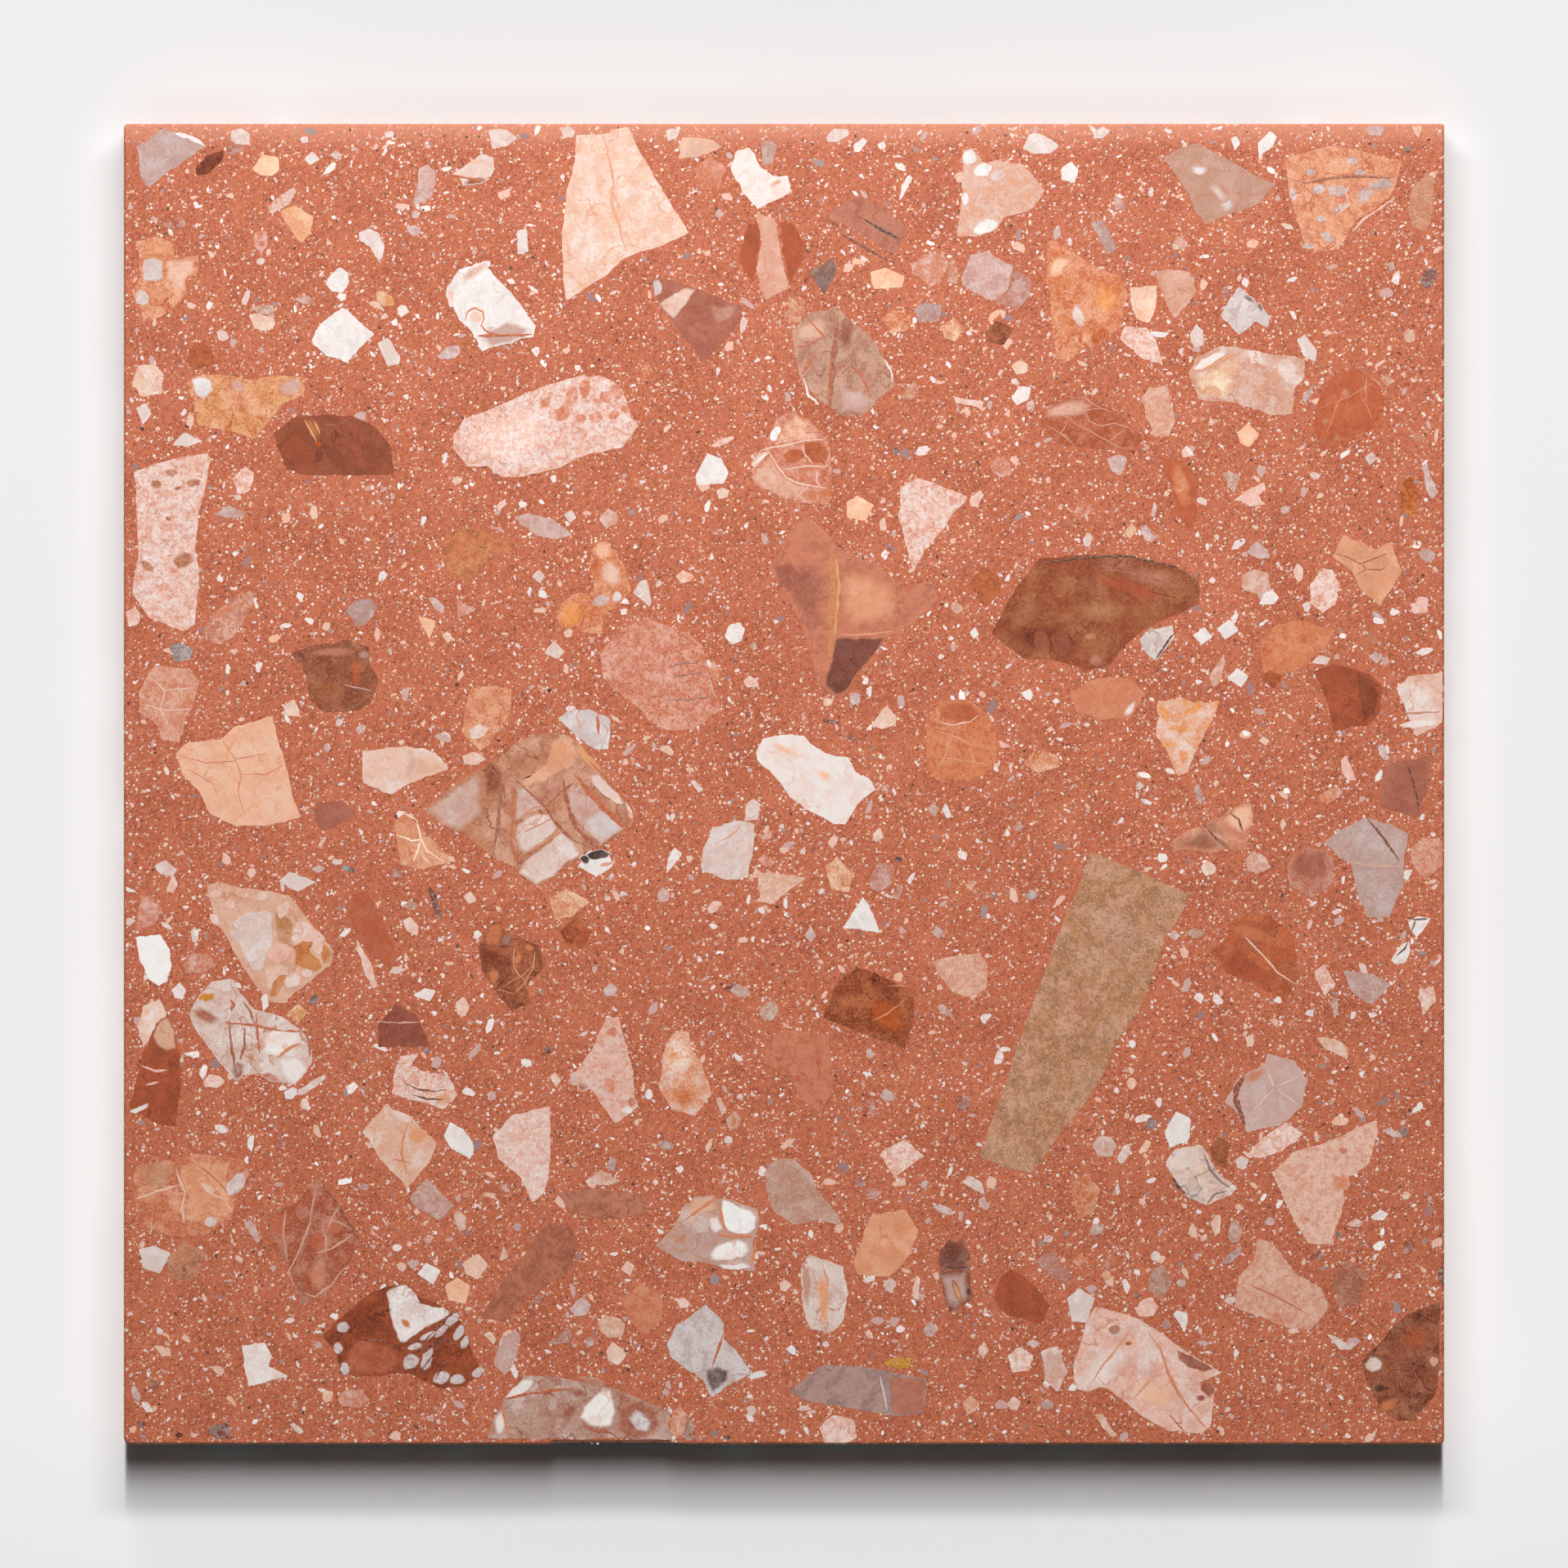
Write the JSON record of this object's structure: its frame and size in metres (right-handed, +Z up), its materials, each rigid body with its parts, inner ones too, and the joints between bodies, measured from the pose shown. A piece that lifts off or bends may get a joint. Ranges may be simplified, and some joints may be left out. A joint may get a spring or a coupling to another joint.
{
  "type": "terrazzo tile",
  "caption": "Square cast terrazzo floor tile with a honed face of mixed marble chips in terracotta cement, eased edges and a small break along its front edge.",
  "frame": {"origin": "centre of the back, the bedding face that lies on the floor", "axes": "+Z points up out of the honed face, +X to the right and +Y to the top edge as the picture shows the face"},
  "size_m": [0.4, 0.4, 0.02],
  "materials": {
    "terrazzo": "honed terracotta cement with coloured marble chips"
  },
  "bodies": {
    "root": {"terrazzo_tile": "terrazzo"}
  },
  "joints": []
}
